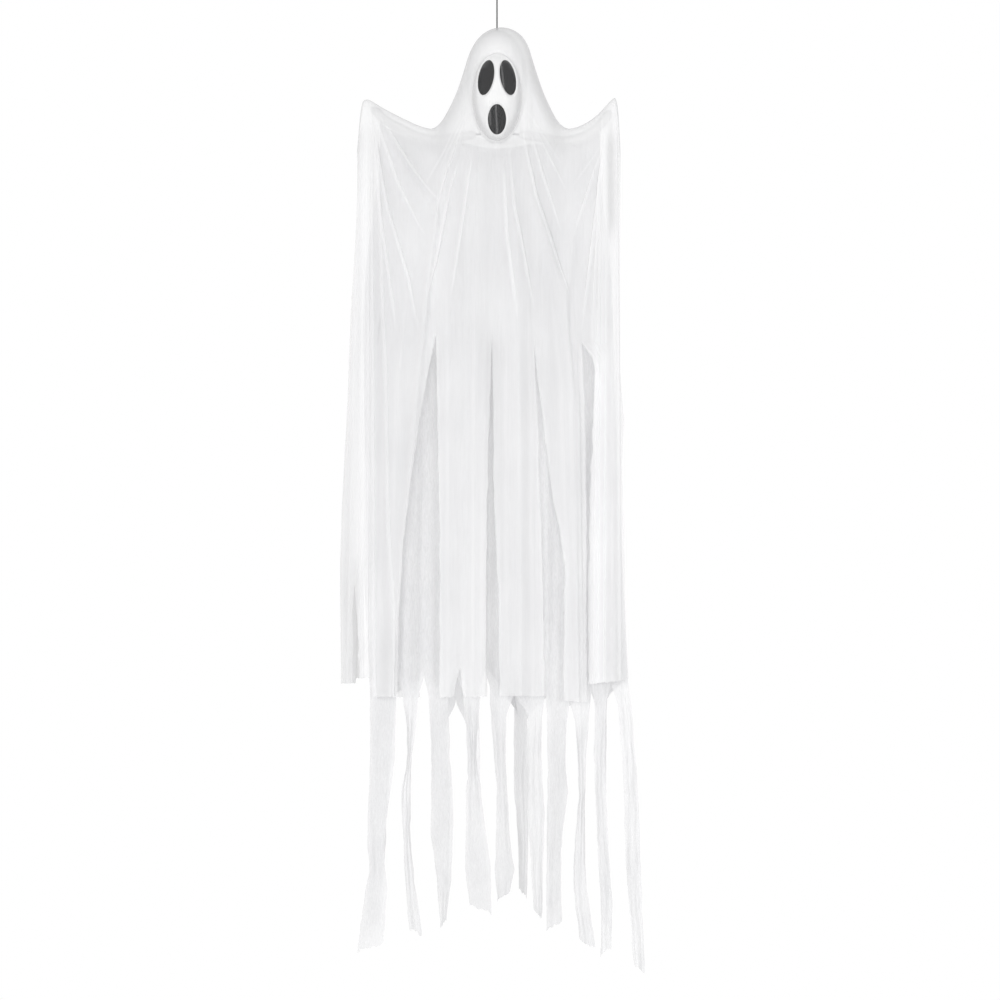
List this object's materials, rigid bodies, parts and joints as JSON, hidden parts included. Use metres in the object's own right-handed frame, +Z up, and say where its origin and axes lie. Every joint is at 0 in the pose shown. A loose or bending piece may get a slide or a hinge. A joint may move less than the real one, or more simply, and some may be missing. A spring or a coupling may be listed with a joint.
{
  "type": "hanging fabric ghost",
  "caption": "White hanging ghost with a pale face under a sheer slit veil, raised bendable arms and a crinkled robe cut into streamers, on a black cord.",
  "frame": {"origin": "top of the hanging loop, where it rests on a hook", "axes": "+Z up along the cord, -Y out of the face, +X to the right of someone looking at the face"},
  "size_m": [0.4879, 0.1181, 1.6032],
  "materials": {
    "veil": "matte",
    "robe": "matte",
    "head": "matte",
    "mask": "satin",
    "patch": "matte",
    "cord": "matte",
    "wire": "satin",
    "wadding": "matte"
  },
  "bodies": {
    "root": {"hanging_loop": "cord", "loop_knot": "cord", "hanging_cord": "cord", "anchor_knot": "cord", "head_form": "head", "face_mask": "mask", "eye_patch_left": "patch", "eye_patch_right": "patch", "mouth_patch": "patch", "arm_wire": "wire", "arm_sleeve_left": "wadding", "arm_sleeve_right": "wadding", "inner_robe": "robe", "outer_veil": "veil"}
  },
  "joints": []
}
